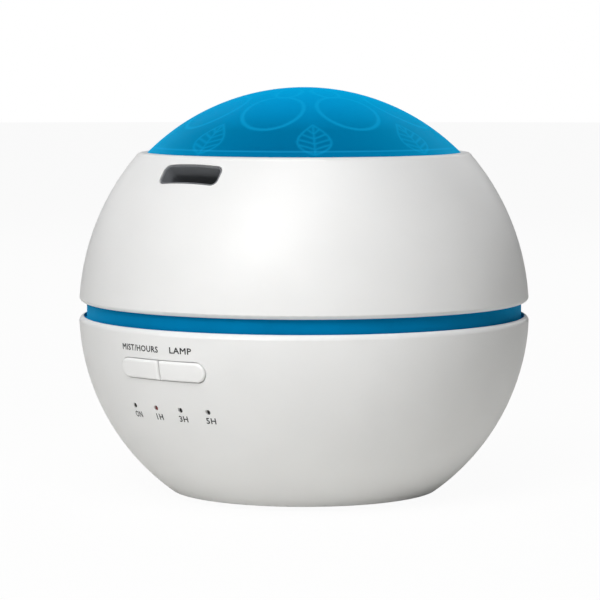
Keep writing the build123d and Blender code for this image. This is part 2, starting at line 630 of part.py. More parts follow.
def upper_shell():
    """White upper half of the ball, with the mist slot and the dome's seat."""
    inner = UPPER_RADIUS - WALL
    edge_z = UPPER_EDGE_Z
    wall_z, rim_z = edge_z + 1.5, RIM_Z - 1.2
    ledge_z, ledge_top, ledge_inner = RING_TOP + GAP, RING_TOP + GAP + 2, 77.5
    seat, seat_z = DOME_RIM_RADIUS + 0.15, RIM_Z - 2.2
    mouth, mouth_z, neck_z = 57.0, RIM_Z - 4.4, 121.0
    rim = 60.4
    shell = turned(
        outline_arc(UPPER_CENTRE, UPPER_RADIUS, wall_z, rim_z),
        ThreePointArc((arc_radius(UPPER_CENTRE, UPPER_RADIUS, rim_z), rim_z),
                      (rim + 1.5, RIM_Z - 0.4), (rim, RIM_Z)),
        Polyline((rim, RIM_Z), (seat, RIM_Z), (seat, seat_z), (mouth, seat_z),
                 (mouth, mouth_z), (arc_radius(UPPER_CENTRE, inner, neck_z), neck_z)),
        outline_arc(UPPER_CENTRE, inner, neck_z, ledge_top),
        Polyline((arc_radius(UPPER_CENTRE, inner, ledge_top), ledge_top),
                 (ledge_inner, ledge_top), (ledge_inner, ledge_z),
                 (arc_radius(UPPER_CENTRE, inner, ledge_z), ledge_z)),
        outline_arc(UPPER_CENTRE, inner, ledge_z, edge_z),
        Line((arc_radius(UPPER_CENTRE, inner, edge_z), edge_z), (LIP_RADIUS, edge_z)),
        ThreePointArc((LIP_RADIUS, edge_z), (LIP_RADIUS + 0.95, edge_z + 0.5),
                      (arc_radius(UPPER_CENTRE, UPPER_RADIUS, wall_z), wall_z)),
    )
    room = inside(UPPER_CENTRE, UPPER_RADIUS - WALL / 2, 80, 110)
    places = around(CHAMBER_SCREW_RADIUS, CHAMBER_SCREW_ANGLES)
    boss_z = CHAMBER_FLANGE_Z + CHAMBER_WALL
    for x, y in places:
        shell += ring(3.6, 0, boss_z, boss_z + 16, x, y) & room
    for x, y in places:
        shell -= ring(1.2, 0, boss_z, boss_z + 10, x, y)
    return shell - slot_prism(SLOT_WIDTH, SLOT_HEIGHT, SLOT_CORNER, 9, 4)


def dome():
    """Translucent dome with a thicker rim and a tongue that snaps into the shell."""
    centre = (0, RIM_Z - sqrt(DOME_RADIUS**2 - DOME_RIM_RADIUS**2))
    inner = DOME_RADIUS - DOME_WALL
    tongue_in, tongue_out, foot_z = 55.0, 56.8, RIM_Z - 5.4
    rim_low = RIM_Z - 2.1
    tongue_top = centre[1] + sqrt(inner**2 - tongue_in**2)
    half_angle = degrees(atan2(DOME_RIM_RADIUS, RIM_Z - centre[1]))
    inner_angle = degrees(atan2(tongue_in, tongue_top - centre[1]))
    return turned(
        CenterArc(centre, DOME_RADIUS, 90 - half_angle, half_angle),
        Line((0, centre[1] + DOME_RADIUS), (0, centre[1] + inner)),
        CenterArc(centre, inner, 90 - inner_angle, inner_angle),
        Polyline((tongue_in, tongue_top), (tongue_in, foot_z), (tongue_out, foot_z),
                 (tongue_out, rim_low), (DOME_RIM_RADIUS, rim_low), (DOME_RIM_RADIUS, RIM_Z)),
    )


def mist_chamber():
    """Inner cover over the tank that gathers the mist, with its screw flange and seal groove."""
    low, high = CHAMBER_FLANGE_Z, CHAMBER_FLANGE_Z + CHAMBER_WALL
    flange, wall_out, wall_in = 77.2, 63.0, 61.0
    groove, groove_low, groove_high = 67.0, 76.7, 78.2
    skirt_z = 72.2
    roof_rim, roof_z, roof_top = 40.0, 113.0, 116.0
    chamber = turned(
        Line((0, roof_top - CHAMBER_WALL), (0, roof_top)),
        cap_arc(roof_rim, roof_z, roof_top),
        ThreePointArc((roof_rim, roof_z), (51.8, 108.6), (58, 100)),
        Polyline((58, 100), (wall_out, high), (flange, high), (flange, low), (wall_out, low),
                 (wall_out, groove_high), (groove, groove_high), (groove, groove_low),
                 (wall_out, groove_low), (wall_out, skirt_z), (wall_in, skirt_z),
                 (wall_in, low + 1), (56.1, 99.4)),
        ThreePointArc((56.1, 99.4), (50.6, 107), (roof_rim - 0.4, roof_z - 1.9)),
        cap_arc(roof_rim - 0.4, roof_z - 1.9, roof_top - CHAMBER_WALL),
    )
    for x, y in around(CHAMBER_SCREW_RADIUS, CHAMBER_SCREW_ANGLES):
        chamber -= ring(1.5, 0, low, high, x, y)
    return chamber - slot_prism(SLOT_WIDTH + 4, SLOT_HEIGHT + 4, SLOT_CORNER + 2, 30, 0)


def outlet_duct():
    """Flat duct from the mist chamber to the slot, bonded into the chamber's wall."""
    duct = slot_prism(SLOT_WIDTH + 4, SLOT_HEIGHT + 4, SLOT_CORNER + 2, 24, -9)
    duct -= slot_prism(SLOT_WIDTH, SLOT_HEIGHT, SLOT_CORNER, 25, 0)
    return duct


def mist_nozzle():
    """Dark liner of the mist slot."""
    body = slot_prism(SLOT_WIDTH - FIT, SLOT_HEIGHT - FIT, SLOT_CORNER - 0.1, 20, 2)
    body &= inside(UPPER_CENTRE, UPPER_RADIUS - 0.4, 95, 140)
    body -= slot_prism(SLOT_WIDTH - 2.4, SLOT_HEIGHT - 2.4, SLOT_CORNER - 1.2, 21, 3)
    return body


def cover_fastener_parts():
    """Seal on the tank's rim, and the screws of the mist chamber."""
    fixing = screw(2.4, 1.5, 1.15, 11)
    places = around(CHAMBER_SCREW_RADIUS, CHAMBER_SCREW_ANGLES)
    return {
        "cover_seal": ring(67, 63, TANK_RIM_Z + GAP, 76.7),
        "chamber_screws": Compound([Pos(x, y, CHAMBER_FLANGE_Z) * fixing for x, y in places]),
    }


# ---- assembly ----
def base_screws():
    """Three long screws that clamp the bottom cover, shell, ring and tank together."""
    fixing = screw(2.9, 1.8, 1.45, 17)
    places = around(BASE_SCREW_RADIUS, BASE_SCREW_ANGLES)
    return Compound([Pos(x, y, COVER_TOP + GAP) * fixing for x, y in places])


def assembly():
    """Every piece by its node name."""
    nodes = {
        "lower_housing": lower_housing(),
        "bottom_cover": bottom_cover(),
        "rubber_feet": Compound([rubber_foot(x, y) for x, y in FEET]),
        "base_screws": base_screws(),
        "accent_ring": accent_ring(),
        "tank_seal": ring(77.9, 75.6, RING_LEDGE_Z, TANK_RIM_Z - 2),
        "water_tank": water_tank(),
        "air_duct": air_duct(),
        "air_duct_hood": air_duct_hood(),
        "mist_button": button(-1),
        "light_button": button(1),
        "mist_plunger": plunger(-1),
        "light_plunger": plunger(1),
        "upper_shell": upper_shell(),
        "dome": dome(),
        "mist_chamber": mist_chamber(),
        "outlet_duct": outlet_duct(),
        "mist_nozzle": mist_nozzle(),
    }
    for group in (transducer_parts, fan_parts, main_board_parts, control_parts, light_parts,
                  power_inlet_parts, lead_parts, cover_fastener_parts):
        nodes.update(group())
    return nodes


os.makedirs("parts", exist_ok=True)
for node_name, solid in assembly().items():
    export_step(solid, f"parts/{node_name}.step")
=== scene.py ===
import json
from math import asin, atan2, cos, pi, radians, sin, sqrt

import bmesh
import bpy
import numpy as np
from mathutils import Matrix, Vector
from mathutils.bvhtree import BVHTree
from mathutils.geometry import delaunay_2d_cdt


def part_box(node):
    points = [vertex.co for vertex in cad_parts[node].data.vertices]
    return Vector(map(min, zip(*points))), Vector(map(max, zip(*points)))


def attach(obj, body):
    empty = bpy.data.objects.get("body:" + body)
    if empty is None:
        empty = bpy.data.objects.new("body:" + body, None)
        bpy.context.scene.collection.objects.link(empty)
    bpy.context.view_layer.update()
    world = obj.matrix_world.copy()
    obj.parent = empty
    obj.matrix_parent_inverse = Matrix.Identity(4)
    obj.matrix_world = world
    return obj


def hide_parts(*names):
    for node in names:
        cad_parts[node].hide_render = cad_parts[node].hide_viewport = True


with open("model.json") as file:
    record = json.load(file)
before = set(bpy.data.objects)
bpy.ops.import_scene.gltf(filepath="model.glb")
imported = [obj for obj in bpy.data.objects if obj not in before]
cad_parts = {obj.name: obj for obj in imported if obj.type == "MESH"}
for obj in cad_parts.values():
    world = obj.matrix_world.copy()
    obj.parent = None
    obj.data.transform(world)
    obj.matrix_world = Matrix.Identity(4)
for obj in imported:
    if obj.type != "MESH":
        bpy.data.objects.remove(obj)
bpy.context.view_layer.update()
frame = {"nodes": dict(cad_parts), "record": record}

NODES = frame["nodes"]
MM = 0.001
RIM_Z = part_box("upper_shell")[1].z
CROWN_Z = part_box("dome")[1].z


# ---- camera ----
VIEW_AZIMUTH = radians(38.0)       # the camera stands to the right of the front
CAMERA_DISTANCE = 1060 * MM
CAMERA_HEIGHT = 163 * MM
CAMERA_PITCH = radians(4.912)
CAMERA_TURN = radians(0.082)
CAMERA_LENS = 170.23               # mm on a 36 mm sensor

TOWARDS = Vector((sin(VIEW_AZIMUTH), -cos(VIEW_AZIMUTH), 0))   # from the object to the camera
RIGHT = Vector((cos(VIEW_AZIMUTH), sin(VIEW_AZIMUTH), 0))      # to the camera's right
UP = Vector((0, 0, 1))
LIGHT_DISTANCE = 1.6               # metres from the object's middle
LIGHT_SIZE = 1.0                   # across, in metres
WORLD_STRENGTH = 0.04
FLOOR_RADIUS = 6.0
FLOOR_GLOW = 0.95                  # how much of the floor's look is an even glow
FLOOR_BOUNCE = 0.035               # the same, for the light that it throws on the object


def studio(right, towards, up):
    """Point given as seen from the camera: to the right, towards it and up, in metres."""
    return RIGHT * right + TOWARDS * towards + UP * up


def aim(item, target):
    """Turns a light or camera so that it looks at a point."""
    direction = target - item.location
    item.rotation_euler = direction.to_track_quat("-Z", "Y").to_euler()


def make_camera():
    data = bpy.data.cameras.new("camera")
    data.lens = CAMERA_LENS
    data.sensor_width = 36.0
    data.dof.use_dof = False
    camera = bpy.data.objects.new("camera", data)
    bpy.context.scene.collection.objects.link(camera)
    camera.location = studio(0, CAMERA_DISTANCE, CAMERA_HEIGHT)
    ahead = (-TOWARDS * cos(CAMERA_TURN) - RIGHT * sin(CAMERA_TURN)) * cos(CAMERA_PITCH)
    aim(camera, camera.location + ahead - UP * sin(CAMERA_PITCH))
    bpy.context.scene.camera = camera


# ---- light and floor ----
def area_light(name, place, target, power):
    data = bpy.data.lights.new(name, "AREA")
    data.shape = "DISK"
    data.size = LIGHT_SIZE
    data.energy = power
    light = bpy.data.objects.new(name, data)
    light.location = place
    bpy.context.scene.collection.objects.link(light)
    aim(light, target)


def make_lights():
    """Soft round lights: the key to the camera's left, one high up, two weak ones behind."""
    middle = Vector((0, 0, 80 * MM))
    lights = (                      # name, azimuth from the camera, elevation, watts
        ("key", -25, 35, 16.9),
        ("high", 0, 62, 10.1),
        ("rear_left", -150, 25, 3.0),
        ("rear_right", 145, 25, 4.0),
    )
    for name, azimuth, elevation, power in lights:
        turn, rise = radians(azimuth), radians(elevation)
        away = studio(sin(turn) * cos(rise), cos(turn) * cos(rise), sin(rise))
        area_light(name, middle + away * LIGHT_DISTANCE, middle, power)


def make_world():
    """Dim grey surroundings that light the object, and a near-white sky behind it."""
    world = bpy.data.worlds.new("studio")
    bpy.context.scene.world = world
    world.use_nodes = True
    tree = world.node_tree
    background = tree.nodes["Background"]
    seen = tree.nodes.new("ShaderNodeBackground")
    seen.inputs["Color"].default_value = (1, 1, 1, 1)
    seen.inputs["Strength"].default_value = 1.0
    background.inputs["Color"].default_value = (0.93, 0.95, 1.0, 1)
    background.inputs["Strength"].default_value = WORLD_STRENGTH
    mix = tree.nodes.new("ShaderNodeMixShader")
    path = tree.nodes.new("ShaderNodeLightPath")
    tree.links.new(path.outputs["Is Camera Ray"], mix.inputs["Fac"])
    tree.links.new(background.outputs[0], mix.inputs[1])
    tree.links.new(seen.outputs[0], mix.inputs[2])
    tree.links.new(mix.outputs[0], tree.nodes["World Output"].inputs["Surface"])


def floor_paper(name):
    """White studio paper. What the camera sees of it is mostly an even white glow,
    so that the far floor doesn't darken; the light that it throws is a plain paper's."""
    shader = Shader(name)
    fibre = shader.band(shader.noise(1.2, 3), 0.3, 0.7, 0, 1)
    shader.join(shader.mix(fibre, (0.86, 0.855, 0.83), (0.9, 0.895, 0.87)),
                shader.surface.inputs["Base Color"])
    shader.set(Roughness=0.85, Specular_IOR_Level=0.1)
    shader.bump(shader.noise(1.2, 3), 0.02)
    glow = shader.add("ShaderNodeEmission")
    path = shader.add("ShaderNodeLightPath")
    share = shader.band(path.outputs["Is Camera Ray"], 0, 1, FLOOR_BOUNCE, FLOOR_GLOW)
    blend = shader.add("ShaderNodeMixShader")
    shader.join(share, blend.inputs["Fac"])
    shader.join(shader.surface.outputs[0], blend.inputs[1])
    shader.join(glow.outputs[0], blend.inputs[2])
    shader.join(blend.outputs[0], shader.tree.nodes["Material Output"].inputs["Surface"])
    return shader.material


def make_floor():
    mesh = bpy.data.meshes.new("floor")
    build = bmesh.new()
    bmesh.ops.create_circle(build, cap_ends=True, segments=96, radius=FLOOR_RADIUS)
    build.to_mesh(mesh)
    build.free()
    floor = bpy.data.objects.new("floor", mesh)
    bpy.context.scene.collection.objects.link(floor)
    mesh.materials.append(floor_paper("floor_paper"))


# ---- materials ----
NOISE_ROUGHNESS = 0.55


class Shader:
    """A material's node tree, with short ways to add and join nodes."""

    def __init__(self, name):
        self.material = bpy.data.materials.new(name)
        self.material.use_nodes = True
        self.tree = self.material.node_tree
        self.surface = self.tree.nodes["Principled BSDF"]
        self.place = self.add("ShaderNodeTexCoord").outputs["Object"]

    def add(self, kind, **settings):
        node = self.tree.nodes.new(kind)
        for key, value in settings.items():
            setattr(node, key, value)
        return node

    def join(self, output, socket):
        self.tree.links.new(output, socket)

    def noise(self, size_mm, detail=3.0):
        """Noise whose blobs are about size_mm across."""
        node = self.add("ShaderNodeTexNoise")
        self.join(self.place, node.inputs["Vector"])
        node.inputs["Scale"].default_value = 1000.0 / size_mm
        node.inputs["Detail"].default_value = detail
        node.inputs["Roughness"].default_value = NOISE_ROUGHNESS
        return node.outputs["Fac"]

    def band(self, value, low, high, to_low, to_high):
        """value between low and high, mapped to another range and clamped."""
        node = self.add("ShaderNodeMapRange")
        self.join(value, node.inputs["Value"])
        for key, number in (("From Min", low), ("From Max", high),
                            ("To Min", to_low), ("To Max", to_high)):
            node.inputs[key].default_value = number
        return node.outputs["Result"]

    def mix(self, factor, first, second):
        """Colour mixed between two colours or outputs."""
        node = self.add("ShaderNodeMix", data_type="RGBA")
        self.join(factor, node.inputs["Factor"])
        for index, colour in ((6, first), (7, second)):
            if isinstance(colour, tuple):
                node.inputs[index].default_value = (*colour, 1)
            else:
                self.join(colour, node.inputs[index])
        return node.outputs[2]

    def axis(self, index):
        """One coordinate of the point, in metres."""
        node = self.add("ShaderNodeSeparateXYZ")
        self.join(self.place, node.inputs[0])
        return node.outputs[index]

    def bump(self, height, depth_mm, strength=1.0):
        """Bump from a 0 to 1 height, depth_mm deep; several calls add up."""
        node = self.add("ShaderNodeBump")
        node.inputs["Strength"].default_value = strength
        node.inputs["Distance"].default_value = depth_mm * MM
        self.join(height, node.inputs["Height"])
        normal = self.surface.inputs["Normal"]
        if normal.is_linked:
            self.join(normal.links[0].from_socket, node.inputs["Normal"])
        self.join(node.outputs["Normal"], normal)

    def set(self, **values):
        for key, value in values.items():
            self.surface.inputs[key.replace("_", " ")].default_value = value


def shade(colour, factor):
    """A colour made lighter or darker."""
    return tuple(min(1.0, c * factor) for c in colour)


def plastic(name, colour, roughness, grain=0.35, depth=0.006, mottle=0.03, scatter=0.0):
    """Moulded plastic: fine spark-eroded grain, faint flow mottle, uneven gloss."""
    shader = Shader(name)
    cloud = shader.band(shader.noise(38, 2), 0.3, 0.7, 0, 1)
    shader.join(shader.mix(cloud, shade(colour, 1 - mottle), shade(colour, 1 + mottle * 0.5)),
                shader.surface.inputs["Base Color"])
    gloss = shader.band(shader.noise(9, 4), 0.3, 0.7, roughness - 0.035, roughness + 0.035)
    shader.join(gloss, shader.surface.inputs["Roughness"])
    shader.bump(shader.noise(grain, 2), depth)
    shader.bump(shader.noise(14, 2), depth * 1.5, 0.5)
    shader.set(IOR=1.49)
    if scatter:
        shader.set(Subsurface_Weight=scatter, Subsurface_Radius=(0.0012, 0.001, 0.0009),
                   Subsurface_Scale=1.0)
    return shader.material


def metal(name, colour, roughness, grain=0.5, stretch=(1, 1, 14)):
    """Bare or plated metal with fine brushed streaks and small stains."""
    shader = Shader(name)
    mapping = shader.add("ShaderNodeMapping")
    mapping.inputs["Scale"].default_value = stretch
    shader.join(shader.place, mapping.inputs["Vector"])
    streaks = shader.add("ShaderNodeTexNoise")
    streaks.inputs["Scale"].default_value = 1000 / grain
    streaks.inputs["Detail"].default_value = 3
    shader.join(mapping.outputs[0], streaks.inputs["Vector"])
    stain = shader.band(shader.noise(4, 4), 0.35, 0.7, 0, 1)
    shader.join(shader.mix(stain, colour, shade(colour, 0.82)),
                shader.surface.inputs["Base Color"])
    gloss = shader.band(streaks.outputs["Fac"], 0.3, 0.7, roughness - 0.08, roughness + 0.1)
    shader.join(gloss, shader.surface.inputs["Roughness"])
    shader.bump(streaks.outputs["Fac"], 0.004, 0.6)
    shader.set(Metallic=1.0)
    return shader.material


def rubber(name, colour, roughness=0.72, grain=0.3):
    """Matt rubber or silicone with dust and pores."""
    shader = Shader(name)
    dust = shader.band(shader.noise(2.5, 5), 0.45, 0.75, 0, 0.35)
    shader.join(shader.mix(dust, colour, (0.3, 0.29, 0.27)),
                shader.surface.inputs["Base Color"])
    gloss = shader.band(shader.noise(1.5, 3), 0.3, 0.7, roughness - 0.08, roughness + 0.08)
    shader.join(gloss, shader.surface.inputs["Roughness"])
    shader.bump(shader.noise(grain, 3), 0.015)
    shader.set(IOR=1.5)
    return shader.material


def circuit_board(name):
    """Green solder mask over copper tracks, with bare tinned pads."""
    shader = Shader(name)
    tracks = shader.add("ShaderNodeTexBrick")
    tracks.offset = 0.37
    tracks.inputs["Scale"].default_value = 180
    tracks.inputs["Mortar Size"].default_value = 0.08
    tracks.inputs["Mortar Smooth"].default_value = 0.3
    shader.join(shader.place, tracks.inputs["Vector"])
    pads = shader.add("ShaderNodeTexVoronoi")
    pads.inputs["Scale"].default_value = 260
    shader.join(shader.place, pads.inputs["Vector"])
    dots = shader.band(pads.outputs["Distance"], 0.16, 0.2, 1, 0)
    mask = shader.mix(tracks.outputs["Fac"], (0.008, 0.11, 0.045), (0.02, 0.2, 0.08))
    shader.join(shader.mix(dots, mask, (0.62, 0.6, 0.55)), shader.surface.inputs["Base Color"])
    shader.join(shader.band(dots, 0, 1, 0.0, 0.9), shader.surface.inputs["Metallic"])
    shader.join(shader.band(shader.noise(3, 3), 0.3, 0.7, 0.26, 0.4),
                shader.surface.inputs["Roughness"])
    shader.bump(tracks.outputs["Fac"], 0.02)
    return shader.material


def clear_lamp(name):
    """Clear epoxy lamp body."""
    shader = Shader(name)
    haze = shader.band(shader.noise(1.2, 3), 0.3, 0.7, 0.04, 0.14)
    shader.join(haze, shader.surface.inputs["Roughness"])
    shader.join(shader.mix(shader.noise(2, 2), (0.86, 0.9, 0.93), (0.95, 0.97, 1.0)),
                shader.surface.inputs["Base Color"])
    shader.set(Transmission_Weight=0.85, IOR=1.53)
    return shader.material


RED_WINDOW = (-8.0 * MM, -3.0 * MM)         # from x to x
WINDOW_EDGE = 0.1 * MM                      # how softly its colour begins and ends


def smoked_window(name):
    """Smoked light guides; the second from the left is a red one."""
    shader = Shader(name)
    x = shader.axis(0)
    left, right = RED_WINDOW
    red_side = shader.band(x, left, left + WINDOW_EDGE, 0, 1)
    other_side = shader.band(x, right - WINDOW_EDGE, right, 1, 0)
    both = shader.add("ShaderNodeMath", operation="MULTIPLY")
    shader.join(red_side, both.inputs[0])
    shader.join(other_side, both.inputs[1])
    shader.join(shader.mix(both.outputs[0], (0.02, 0.018, 0.018), (0.14, 0.006, 0.008)),
                shader.surface.inputs["Base Color"])
    shader.join(shader.band(shader.noise(0.6, 3), 0.3, 0.7, 0.2, 0.36),
                shader.surface.inputs["Roughness"])
    shader.bump(shader.noise(0.4, 2), 0.01)
    return shader.material


def blue_dome(name):
    """Deep blue translucent plastic with painted light and shade: painted shade low down, painted
    light towards the crown; lighter along the drawing.

    The rim's inner step, seen through the plastic, is painted into the colour as a darker band
    under a light line, the line a painted highlight.
    """
    shader = Shader(name)
    z = shader.axis(2)
    # painted light and shade: the colour runs from dark near the rim to light at the crown
    height = shader.band(z, RIM_Z + 9 * MM, CROWN_Z, 0, 1)
    cloud = shader.band(shader.noise(22, 3), 0.3, 0.7, 0, 1)
    # low is the painted shade near the rim, high the painted light at the crown
    low = shader.mix(cloud, (0.0, 0.03, 0.12), (0.0, 0.038, 0.14))
    high = shader.mix(cloud, (0.002, 0.23, 0.6), (0.002, 0.255, 0.64))
    body = shader.mix(height, low, high)
    # the rim's inner step seen through the plastic, painted into the colour as a band low on the
    # dome
    band = shader.band(z, RIM_Z + 1.4 * MM, RIM_Z + 1.7 * MM, 0.5, 0)
    body = shader.mix(band, body, (0.0, 0.1, 0.25))
    # painted highlight: a light line along the rim's inner step, just above that band
    line = shader.add("ShaderNodeMath", operation="MULTIPLY")
    shader.join(shader.band(z, RIM_Z + 1.5 * MM, RIM_Z + 1.8 * MM, 0, 1), line.inputs[0])
    shader.join(shader.band(z, RIM_Z + 1.9 * MM, RIM_Z + 2.4 * MM, 0.35, 0), line.inputs[1])
    body = shader.mix(line.outputs[0], body, (0.02, 0.4, 0.78))
    drawn = shader.add("ShaderNodeAttribute", attribute_name="drawing").outputs["Fac"]
    body = shader.mix(shader.band(drawn, 0, 1, 0, 0.4), body, (0.01, 0.38, 0.72))
    shader.join(body, shader.surface.inputs["Base Color"])
    shader.join(shader.band(shader.noise(7, 3), 0.3, 0.7, 0.38, 0.46),
                shader.surface.inputs["Roughness"])
    shader.bump(shader.noise(0.5, 2), 0.004)
    shader.set(Specular_IOR_Level=0.005, Sheen_Weight=1.0, Sheen_Roughness=0.8,
               Sheen_Tint=(0.0, 0.55, 1.0, 1))
    return shader.material


def blue_ring(name):
    """Blue translucent plastic with a soft satin finish."""
    shader = Shader(name)
    cloud = shader.band(shader.noise(16, 3), 0.3, 0.7, 0, 1)
    shader.join(shader.mix(cloud, (0.0, 0.17, 0.38), (0.0, 0.19, 0.42)),
                shader.surface.inputs["Base Color"])
    shader.join(shader.band(shader.noise(5, 3), 0.3, 0.7, 0.38, 0.5),
                shader.surface.inputs["Roughness"])
    shader.bump(shader.noise(0.5, 2), 0.004)
    shader.set(Specular_IOR_Level=0.005, Sheen_Weight=0.9, Sheen_Roughness=0.5,
               Sheen_Tint=(0.02, 0.55, 1.0, 1))
    return shader.material


def make_finishes():
    """One material for each of the record's slots that CAD nodes use."""
    return {
        "white_shell": plastic("shell_white", (0.80, 0.80, 0.795), 0.46, scatter=0.05),
        "white_button": plastic("button_white", (0.84, 0.84, 0.835), 0.38, grain=0.5),
        "blue_ring": blue_ring("ring_blue"),
        "inner_white": plastic("tank_white", (0.82, 0.82, 0.81), 0.3, grain=1.5, depth=0.003),
        "base_white": plastic("base_white", (0.78, 0.78, 0.775), 0.55, grain=0.6, depth=0.02),
        "dark_liner": plastic("liner_grey", (0.17, 0.178, 0.19), 0.45, grain=0.3),
        "foot_rubber": rubber("foot_rubber", (0.03, 0.03, 0.03)),
        "silicone": rubber("silicone", (0.6, 0.61, 0.61), 0.5),
        "screw_steel": metal("screw_steel", (0.62, 0.62, 0.63), 0.32),
        "brass": metal("brass", (0.72, 0.53, 0.25), 0.3),
        "copper": metal("copper_wire", (0.72, 0.33, 0.16), 0.35, grain=0.9, stretch=(1, 1, 6)),
        "magnet": metal("magnet", (0.1, 0.1, 0.1), 0.6, grain=0.6, stretch=(1, 1, 1)),
        "black_plastic": plastic("black_plastic", (0.022, 0.022, 0.024), 0.45, grain=0.4),
        "circuit_board": circuit_board("circuit_board"),
        "bare_aluminium": metal("bare_aluminium", (0.72, 0.73, 0.74), 0.36),
        "ferrite": plastic("ferrite", (0.07, 0.07, 0.075), 0.6, grain=0.5, depth=0.02),
        "header_nylon": plastic("header_nylon", (0.74, 0.71, 0.63), 0.45, grain=0.8),
        "clear_lamp": clear_lamp("clear_lamp"),
        "smoked_window": smoked_window("smoked_window"),
        "wire": rubber("wire_sleeve", (0.05, 0.05, 0.055), 0.5, grain=0.6),
    }


def finish_nodes(finishes):
    """Gives every CAD node that stays in sight the material of its slot."""
    for part in frame["record"]["subparts"]:
        if part["material_slot"] not in finishes:
            continue
        for holder in NODES[part["node"]].material_slots:
            holder.material = finishes[part["material_slot"]]


# ---- pieces ----
def new_piece(name, points, faces, material, body):
    """Mesh object from points in metres, riding on a body."""
    mesh = bpy.data.meshes.new(name)
    mesh.from_pydata(points, [], faces)
    mesh.validate()
    mesh.polygons.foreach_set("use_smooth", [True] * len(mesh.polygons))
    mesh.materials.append(material)
    piece = bpy.data.objects.new(name, mesh)
    bpy.context.scene.collection.objects.link(piece)
    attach(piece, body)
    return piece


ON_AXIS = 1e-9


def lathe(profile, segments):
    """Points and faces of a closed (r, z) outline turned about the vertical axis.

    A point with r = 0 becomes one vertex, so the ends of an open outline that
    lie on the axis close the form.
    """
    points, rows = [], []
    for r, z in profile:
        if r < ON_AXIS:
            rows.append([len(points)] * segments)
            points.append((0, 0, z))
            continue
        rows.append(list(range(len(points), len(points) + segments)))
        for step in range(segments):
            turn = 2 * pi * step / segments
            points.append((r * cos(turn), r * sin(turn), z))
    faces = []
    for low, high in zip(rows, rows[1:]):
        for step in range(segments):
            after = (step + 1) % segments
            corners = [low[step], low[after], high[after], high[step]]
            faces.append(list(dict.fromkeys(corners)))
    return points, faces


def surface_of(node):
    """Search tree over a CAD node's mesh."""
    mesh = NODES[node].data
    return BVHTree.FromPolygons([v.co for v in mesh.vertices],
                                [p.vertices for p in mesh.polygons])


# ---- labels ----
INK_LIFT = 0.03 * MM
INK_THICKNESS = 0.02 * MM
CAP_HEIGHT = 2.25 * MM
BOLD = 0.024                       # extra thickness of the strokes on each side, in ems
SHIFT_TURN = 0.6                   # radians, off the letters' own edges
LABEL_RADIUS = 83 * MM             # the lower shell's radius about where the labels are
RAY_START = 200 * MM               # well outside the shell
LAMP_LABEL_DROP = 3.25 * MM


def ink_material():
    shader = Shader("label_ink")
    worn = shader.band(shader.noise(0.5, 3), 0.4, 0.75, 0, 1)
    shader.join(shader.mix(worn, (0.012, 0.012, 0.013), (0.03, 0.03, 0.032)),
                shader.surface.inputs["Base Color"])
    shader.join(shader.band(shader.noise(0.8, 2), 0.3, 0.7, 0.42, 0.55),
                shader.surface.inputs["Roughness"])
    shader.bump(shader.noise(0.3, 2), 0.004)
    return shader.material


def thickened(flat):
    """Bold letters: four copies of the flat ones, shifted four ways and joined.

    The ways are a little turned, so that no two edges fall on the same line. Only triangles
    that lie on one of the copies are kept, so the holes in the letters stay open.
    """
    turns = [SHIFT_TURN + pi / 2 * step for step in range(4)]
    shifts = [Vector((BOLD * cos(turn), BOLD * sin(turn), 0)) for turn in turns]
    points, faces = [], []
    for shift in shifts:
        start = len(points)
        points += [(v.co + shift).to_2d() for v in flat.vertices]
        faces += [[start + index for index in p.vertices] for p in flat.polygons]
    inside_only, keep_ids = 1, False
    joined, _, triangles, *_ = delaunay_2d_cdt(points, [], faces, inside_only, 1e-5, keep_ids)
    letters = BVHTree.FromPolygons([v.co for v in flat.vertices],
                                   [p.vertices for p in flat.polygons])
    kept = []
    for triangle in triangles:
        centre = sum((joined[index] for index in triangle), Vector((0, 0))) / 3
        above = centre.to_3d() + UP
        if any(letters.ray_cast(above - shift, -UP)[0] for shift in shifts):
            kept.append(triangle)
    return joined, kept


def raised(points, triangles):
    """Flat triangles made into a solid from -0.5 to 0.5 in height."""
    build = bmesh.new()
    corners = [build.verts.new((p.x, p.y, -0.5)) for p in points]
    for triangle in triangles:
        build.faces.new([corners[index] for index in triangle])
    loose = [v for v in build.verts if not v.link_faces]
    bmesh.ops.delete(build, geom=loose, context="VERTS")
    grown = bmesh.ops.extrude_face_region(build, geom=build.faces[:])["geom"]
    for item in grown:
        if isinstance(item, bmesh.types.BMVert):
            item.co.z = 0.5
    bmesh.ops.recalc_face_normals(build, faces=build.faces)
    mesh = bpy.data.meshes.new("words")
    build.to_mesh(mesh)
    build.free()
    return mesh


def text_mesh(words, width):
    """Flat printed words, centred, as wide as asked and CAP_HEIGHT tall."""
    curve = bpy.data.curves.new("words", "FONT")
    curve.body = words
    curve.align_x = "CENTER"
    curve.size = 1.0
    curve.resolution_u = 2
    curve.space_character = 1.08
    holder = bpy.data.objects.new("words", curve)
    bpy.context.scene.collection.objects.link(holder)
    bpy.context.view_layer.update()
    flat = bpy.data.meshes.new_from_object(holder)
    bpy.data.objects.remove(holder)
    mesh = raised(*thickened(flat))
    xs = [v.co.x for v in mesh.vertices]
    ys = [v.co.y for v in mesh.vertices]
    middle = (max(xs) + min(xs)) / 2
    for vertex in mesh.vertices:
        vertex.co.x = (vertex.co.x - middle) * width / (max(xs) - min(xs))
        vertex.co.y = ((vertex.co.y - min(ys)) / (max(ys) - min(ys)) - 0.5) * CAP_HEIGHT
    return mesh


def wrap_on_shell(mesh, tree, azimuth, height):
    """Lays a flat mesh on the lower shell round a point given by azimuth and height."""
    for vertex in mesh.vertices:
        z = height + vertex.co.y
        turn = azimuth + vertex.co.x / LABEL_RADIUS
        outward = Vector((sin(turn), -cos(turn), 0))
        start = outward * RAY_START + UP * z
        place, normal, _, _ = tree.ray_cast(start, -outward)
        lift = INK_LIFT + vertex.co.z * INK_THICKNESS
        vertex.co = place + normal * lift


